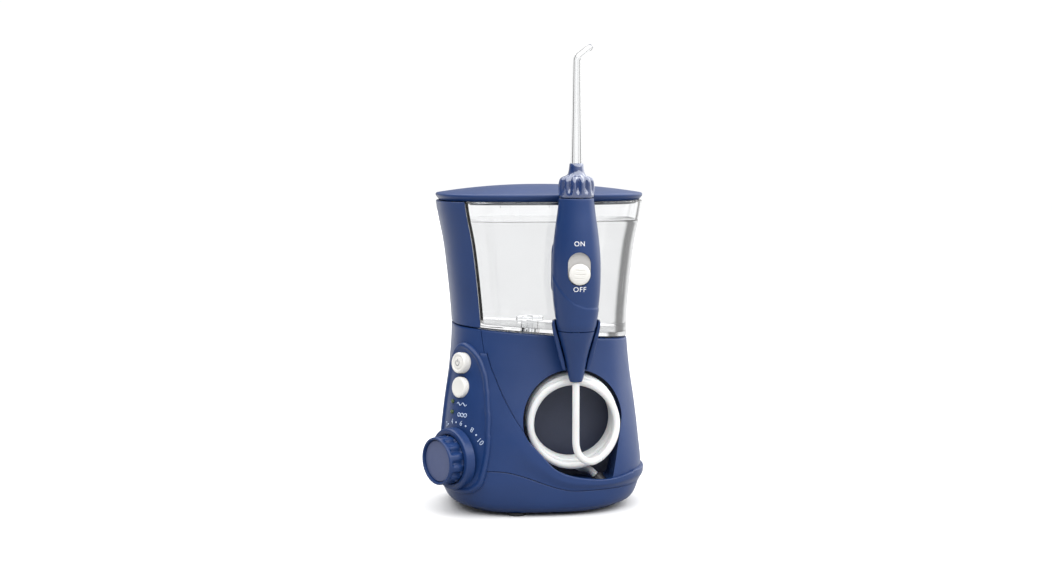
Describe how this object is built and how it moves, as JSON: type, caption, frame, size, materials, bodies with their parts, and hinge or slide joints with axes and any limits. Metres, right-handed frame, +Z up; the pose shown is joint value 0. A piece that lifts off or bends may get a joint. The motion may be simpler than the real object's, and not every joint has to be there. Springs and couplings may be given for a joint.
{
  "type": "water flosser",
  "caption": "Countertop water flosser: waisted base with pump, dial and buttons, clear lidded reservoir, and a handle with a jet tip on a coiled hose stored in a round well.",
  "frame": {"origin": "under the middle of the whole object's box, on the plane the feet stand on", "axes": "+X to the right seen from the front, +Y to the back, +Z up; the handle and the hose well face -Y"},
  "size_m": [0.1296, 0.1166, 0.263],
  "materials": {
    "navy_plastic": "satin navy-blue ABS",
    "well_plastic": "dark slate-blue, matt",
    "white_plastic": "satin white",
    "grey_plastic": "matt light grey",
    "dial_face_plastic": "satin grey-blue",
    "lens_plastic": "translucent",
    "clear_plastic": "clear, polished",
    "smoke_plastic": "translucent smoke",
    "collar_plastic": "translucent dark blue",
    "white_hose": "satin white, flexible",
    "silicone": "translucent silicone",
    "black_rubber": "matt black",
    "steel": "plain steel",
    "nylon": "natural nylon",
    "acetal": "black acetal",
    "circuit_board_laminate": "green laminate"
  },
  "bodies": {
    "base": {"base_tray": "navy_plastic", "base_housing": "navy_plastic", "hose_well": "well_plastic", "handle_cradle": "navy_plastic", "control_panel": "navy_plastic", "dial_bezel": "navy_plastic", "control_valve": "acetal", "indicator_lens_1": "lens_plastic", "indicator_lens_2": "lens_plastic", "circuit_board": "circuit_board_laminate", "foot_1": "black_rubber", "foot_2": "black_rubber", "foot_3": "black_rubber", "foot_4": "black_rubber", "screw_1": "steel", "screw_2": "steel", "screw_3": "steel", "screw_4": "steel", "cord_inlet": "black_rubber", "motor_bracket": "steel", "motor": "steel", "pump_body": "acetal", "inlet_tube": "silicone", "valve_tube": "silicone", "hose_fitting": "acetal", "inlet_seat": "navy_plastic", "inlet_seal": "black_rubber", "hose_coil": "white_hose", "hose_tail": "white_hose", "hose_lead": "white_hose"},
    "reservoir": {"reservoir_tank": "clear_plastic", "reservoir_column": "navy_plastic", "reservoir_valve": "clear_plastic", "hinge_pin": "steel"},
    "lid": {"lid": "navy_plastic", "lid_skirt": "smoke_plastic"},
    "handle": {"handle_body": "navy_plastic", "handle_tail": "navy_plastic", "switch_liner": "grey_plastic", "pause_valve": "acetal", "handle_water_tube": "silicone"},
    "pause_switch": {"pause_switch": "white_plastic"},
    "eject_button": {"eject_button": "navy_plastic"},
    "tip_collar": {"tip_collar": "collar_plastic"},
    "jet_tip": {"jet_tip": "clear_plastic"},
    "dial": {"pressure_dial": "navy_plastic", "dial_cap": "dial_face_plastic", "valve_spindle": "nylon"},
    "power_button": {"power_button": "white_plastic"},
    "mode_button": {"mode_button": "white_plastic"},
    "gear": {"reduction_gear": "nylon"},
    "pinion": {"motor_pinion": "steel"},
    "piston": {"connecting_rod": "acetal", "pump_piston": "acetal", "piston_seal": "black_rubber"}
  },
  "joints": [
    {"name": "reservoir_lift", "type": "slide", "parent": "base", "child": "reservoir", "axis": [0, 0, 1], "range_m": [0, 0.06]},
    {"name": "lid_hinge", "type": "hinge", "parent": "reservoir", "child": "lid", "pos_m": [0.0054, 0.056, 0.178], "axis": [-1, 0, 0], "range_deg": [0, 95]},
    {"name": "handle_lift", "type": "slide", "parent": "base", "child": "handle", "axis": [0, -0.2079, 0.9781], "range_m": [0, 0.06]},
    {"name": "pause_slide", "type": "slide", "parent": "handle", "child": "pause_switch", "axis": [0, 0, 1], "range_m": [0, 0.006]},
    {"name": "eject_press", "type": "slide", "parent": "handle", "child": "eject_button", "axis": [0.9272, -0.3746, 0], "range_m": [0, 0.0012], "stiffness_N_per_m": 600},
    {"name": "collar_spin", "type": "hinge", "parent": "handle", "child": "tip_collar", "pos_m": [0.0194, -0.0434, 0.1786], "axis": [0, 0, 1], "continuous": true},
    {"name": "tip_eject", "type": "slide", "parent": "tip_collar", "child": "jet_tip", "axis": [0, 0, 1], "range_m": [0, 0.02]},
    {"name": "dial_turn", "type": "hinge", "parent": "base", "child": "dial", "pos_m": [-0.04642, -0.02464, 0.0316], "axis": [-0.8478, -0.5297, -0.0262], "range_deg": [-50, 50]},
    {"name": "power_press", "type": "slide", "parent": "base", "child": "power_button", "axis": [0.8196, 0.5633, -0.1045], "range_m": [0, 0.0012], "stiffness_N_per_m": 600},
    {"name": "mode_press", "type": "slide", "parent": "base", "child": "mode_button", "axis": [0.8196, 0.5633, -0.1045], "range_m": [0, 0.0012], "stiffness_N_per_m": 600},
    {"name": "gear_spin", "type": "hinge", "parent": "base", "child": "gear", "pos_m": [0.009, -0.0042, 0.058], "axis": [0, 1, 0], "continuous": true},
    {"name": "pinion_spin", "type": "hinge", "parent": "base", "child": "pinion", "pos_m": [0.0334, -0.0042, 0.058], "axis": [0, 1, 0], "continuous": true},
    {"name": "piston_stroke", "type": "slide", "parent": "base", "child": "piston", "axis": [1, 0, 0], "range_m": [-0.002, 0.002]}
  ],
  "couplings": [
    {"joint": "pinion_spin", "follows": "gear_spin", "ratio": -4}
  ]
}
